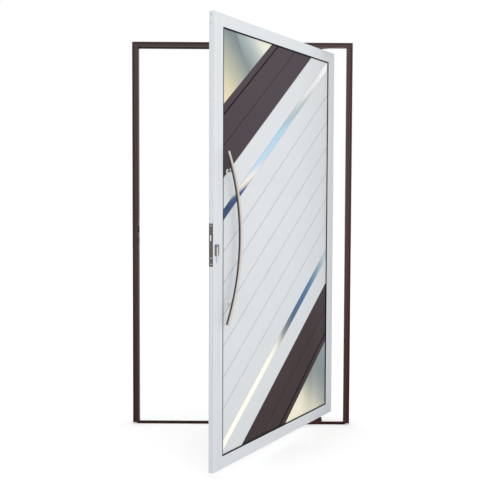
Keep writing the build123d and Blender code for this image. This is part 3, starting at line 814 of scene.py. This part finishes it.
for name, node, behind in (
    ("front_bowed_bar", "front_pull_bar", -BAR_FROM_MIDDLE),
    ("back_bowed_bar", "back_pull_bar", BAR_FROM_MIDDLE),
):
    bar = pull_bar(name, behind)
    bar.data.materials.append(satin)
    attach(bar, "leaf")
    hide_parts(node)
    print(name, len(bar.data.polygons), "faces")
post_steel = drawn_metal("satin_stainless_post", "#F6F6F4", "#E8E8E6", roughness=0.45)
finish(post_steel, "pull_bar_posts")

# %% [markdown]
# Each post stands on a flat washer that spreads its pull over the boards. A washer is a bevelled
# rectangle carried round the post, and all four are one piece.

# %% Washers
POST_FROM_EDGE = 108.0
POST_HEIGHTS = (781.0, 1375.0)
BOARD_FACE = 9.0
WASHER_SECTION = ((7.05, 0.0), (7.05, 1.7), (7.35, 2.0), (10.2, 2.0), (10.8, 1.4), (10.8, 0.0))
WASHER_STEPS = 48
mesh = bmesh.new()
for side in (-1, 1):
    for post_height in POST_HEIGHTS:
        rings = []
        for step in range(WASHER_STEPS):
            turn = 2 * pi * step / WASHER_STEPS
            ring = []
            for out, thick in WASHER_SECTION:
                across = POST_FROM_EDGE + out * cos(turn)
                height = post_height + out * sin(turn)
                ring.append(mesh.verts.new(on_leaf(across, side * (BOARD_FACE + thick), height)))
            rings.append(ring)
        for here, there in zip(rings, rings[1:] + rings[:1]):
            for corner in range(len(WASHER_SECTION)):
                after = (corner + 1) % len(WASHER_SECTION)
                mesh.faces.new((here[corner], here[after], there[after], there[corner]))
bmesh.ops.recalc_face_normals(mesh, faces=mesh.faces)
washer_mesh = bpy.data.meshes.new("post_washers")
mesh.to_mesh(washer_mesh)
mesh.free()
washer_mesh.materials.append(post_steel)
washers = bpy.data.objects.new("post_washers", washer_mesh)
bpy.context.scene.collection.objects.link(washers)
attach(washers, "leaf")
print("post_washers", len(washer_mesh.polygons), "faces")

# %% [markdown]
# ## Screws
#
# Countersunk cross-head screws hold the leaf's corners through its lock edge, the lock plate, the
# strike, the jambs and the top pivot plate. They all look alike and only their size, place and
# direction change, which is what Geometry Nodes are good at: one tree builds a head, cuts the
# cross and sets a copy on every point, turned to face the way that the point says. The heads end
# as real mesh, because instances don't survive the export.

# %% Screw tree
HEAD_SIDES = 28
CROWN_SHARE = 0.82
ARM_SHARE = 1.1
CROSS_LIFT = 0.9
SPIN_SEED = 7


def screw_tree():
    """Geometry Nodes group that sets a cross-head screw on every point, facing its own way."""
    tree = bpy.data.node_groups.new("cross_head_screws", "GeometryNodeTree")
    face = tree.interface
    face.new_socket("Geometry", in_out="INPUT", socket_type="NodeSocketGeometry")
    measures = {"Head Radius": 4 * MM, "Head Height": 0.8 * MM, "Cross Width": 0.9 * MM}
    for name, value in measures.items():
        socket = face.new_socket(name, in_out="INPUT", socket_type="NodeSocketFloat")
        socket.default_value = value
    face.new_socket("Material", in_out="INPUT", socket_type="NodeSocketMaterial")
    face.new_socket("Geometry", in_out="OUTPUT", socket_type="NodeSocketGeometry")
    given = add_node(tree, "NodeGroupInput")
    radius = given.outputs["Head Radius"]
    height = given.outputs["Head Height"]
    rim = add_node(tree, "ShaderNodeMath", {"operation": "MULTIPLY"}, _0=radius, _1=CROWN_SHARE)
    dome = add_node(
        tree, "GeometryNodeMeshCone", Vertices=HEAD_SIDES, Side_Segments=1,
        Radius_Top=rim.outputs[0], Radius_Bottom=radius, Depth=height,
    )
    arm = add_node(tree, "ShaderNodeMath", {"operation": "MULTIPLY"}, _0=radius, _1=ARM_SHARE)
    long_arm = add_node(
        tree, "ShaderNodeCombineXYZ", X=arm.outputs[0], Y=given.outputs["Cross Width"], Z=height
    )
    cross_arm = add_node(
        tree, "ShaderNodeCombineXYZ", X=given.outputs["Cross Width"], Y=arm.outputs[0], Z=height
    )
    first = add_node(tree, "GeometryNodeMeshCube", Size=long_arm.outputs[0])
    second = add_node(tree, "GeometryNodeMeshCube", Size=cross_arm.outputs[0])
    cross_up = add_node(tree, "ShaderNodeMath", {"operation": "MULTIPLY"}, _0=height, _1=CROSS_LIFT)
    lift = add_node(tree, "ShaderNodeCombineXYZ", Z=cross_up.outputs[0])
    arms = []
    for cube in (first, second):
        moved = add_node(
            tree, "GeometryNodeTransform",
            Geometry=cube.outputs["Mesh"], Translation=lift.outputs[0],
        )
        arms.append(moved.outputs["Geometry"])
    cut = add_node(
        tree, "GeometryNodeMeshBoolean", {"operation": "DIFFERENCE"}, Mesh_1=dome.outputs["Mesh"]
    )
    for arm_mesh in arms:
        tree.links.new(arm_mesh, cut.inputs["Mesh 2"])
    way = add_node(
        tree, "GeometryNodeInputNamedAttribute", {"data_type": "FLOAT_VECTOR"}, Name="facing"
    )
    turn = add_node(
        tree, "FunctionNodeAlignRotationToVector", {"axis": "Z"}, Vector=way.outputs["Attribute"]
    )
    spin = add_node(
        tree, "FunctionNodeRandomValue", {"data_type": "FLOAT"}, _2=0.0, _3=pi, Seed=SPIN_SEED
    )
    own_turn = add_node(tree, "ShaderNodeCombineXYZ", Z=spin.outputs[1])
    both = add_node(
        tree, "FunctionNodeRotateRotation", {"rotation_space": "LOCAL"},
        Rotation=turn.outputs["Rotation"], Rotate_By=own_turn.outputs[0],
    )
    copies = add_node(
        tree, "GeometryNodeInstanceOnPoints", Points=given.outputs["Geometry"],
        Instance=cut.outputs["Mesh"], Rotation=both.outputs["Rotation"],
    )
    real = add_node(tree, "GeometryNodeRealizeInstances", Geometry=copies.outputs["Instances"])
    painted = add_node(
        tree, "GeometryNodeSetMaterial",
        Geometry=real.outputs["Geometry"], Material=given.outputs["Material"],
    )
    add_node(tree, "NodeGroupOutput", Geometry=painted.outputs["Geometry"])
    return tree


screws = screw_tree()
print("screw tree", len(screws.nodes), "nodes")

# %% [markdown]
# A second function sets screws: it makes a few points that carry the direction, runs the tree on
# them, and keeps the result as one plain mesh.

# %% Setting screws
def set_screws(name, body, material, places, facing, radius, cross):
    """Screws at the given points, made into one plain mesh that rides on a body."""
    points = bpy.data.meshes.new(name + "_points")
    points.from_pydata([tuple(place) for place in places], [], [])
    way = points.attributes.new("facing", "FLOAT_VECTOR", "POINT")
    for index in range(len(places)):
        way.data[index].vector = facing
    carrier = bpy.data.objects.new(name, points)
    bpy.context.scene.collection.objects.link(carrier)
    modifier = carrier.modifiers.new("screws", "NODES")
    modifier.node_group = screws
    sizes = {"Head Radius": radius, "Cross Width": cross, "Material": material}
    for item in screws.interface.items_tree:
        if item.in_out == "INPUT" and item.name in sizes:
            modifier[item.identifier] = sizes[item.name]
    graph = bpy.context.evaluated_depsgraph_get()
    made = bpy.data.meshes.new_from_object(carrier.evaluated_get(graph))
    carrier.modifiers.clear()
    carrier.data = made
    made.name = name
    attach(carrier, body)
    print(name, len(places), "screws,", len(made.polygons), "faces")


# %% [markdown]
# The heads are sunk, and only the crown of each stands above its plate. On the lock edge two
# screws near each end hold the rails, and three hold the lock plate. They are bright zinc.

# %% Screws of the leaf
screw_zinc = drawn_metal("zinc_screw", "#DAD8D4", "#C6C2BC", roughness=0.35)
screw_brown = drawn_metal("browned_steel_screw", "#5A4E4A", "#463C38", roughness=0.45)
towards_jamb = -along_leaf
HEIGHTS_OF_CORNER_SCREWS = (52.9, 84.3, 2012.1, 2048.8)
HEIGHTS_OF_PLATE_SCREWS = (965.9, 993.1, 1135.7)
set_screws(
    "corner_screws", "leaf", screw_zinc,
    [on_leaf(0, 0, height) for height in HEIGHTS_OF_CORNER_SCREWS], towards_jamb,
    radius=5.6 * MM, cross=1.1 * MM,
)
set_screws(
    "lock_plate_screws", "leaf", screw_zinc,
    [on_leaf(0, 0, height) for height in HEIGHTS_OF_PLATE_SCREWS], towards_jamb,
    radius=3.2 * MM, cross=0.8 * MM,
)

# %% [markdown]
# The frame's own screws hold the strike, bolt each jamb to the wall near its ends, and hold the
# plate of the top pivot. Those in jambs and strike are browned, so that they don't stand out from
# the paint.

# %% Screws of the frame
strike_low, strike_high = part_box("strike_box")
plate_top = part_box("top_pivot_pin")[1].z
STRIKE_SCREW_INSET = 9 * MM
ANCHOR_HEIGHTS = (0.250, 1.850)
PLATE_THICK = 3 * MM
PLATE_SCREW_OUT = 26 * MM
jamb_face = strike_high.x
strike_heights = (strike_low.z + STRIKE_SCREW_INSET, strike_high.z - STRIKE_SCREW_INSET)
set_screws(
    "strike_screws", "frame", screw_brown,
    [(jamb_face, 0, height) for height in strike_heights], Vector((1, 0, 0)),
    radius=3.2 * MM, cross=0.8 * MM,
)
set_screws(
    "lock_jamb_anchors", "frame", screw_brown,
    [(jamb_face, 0, height) for height in ANCHOR_HEIGHTS], Vector((1, 0, 0)),
    radius=5.2 * MM, cross=1.2 * MM,
)
set_screws(
    "pivot_jamb_anchors", "frame", screw_brown,
    [(-jamb_face, 0, height) for height in ANCHOR_HEIGHTS], Vector((-1, 0, 0)),
    radius=5.2 * MM, cross=1.2 * MM,
)
set_screws(
    "top_plate_screws", "frame", screw_zinc,
    [(pivot.x + out, 0, plate_top - PLATE_THICK) for out in (-PLATE_SCREW_OUT, PLATE_SCREW_OUT)],
    Vector((0, 0, -1)), radius=4.0 * MM, cross=0.9 * MM,
)

# %% [markdown]
# ## Finish
#
# Colours are shown as they are written, with Blender's Standard view.

# %% Finish
bpy.context.scene.view_settings.view_transform = "Standard"
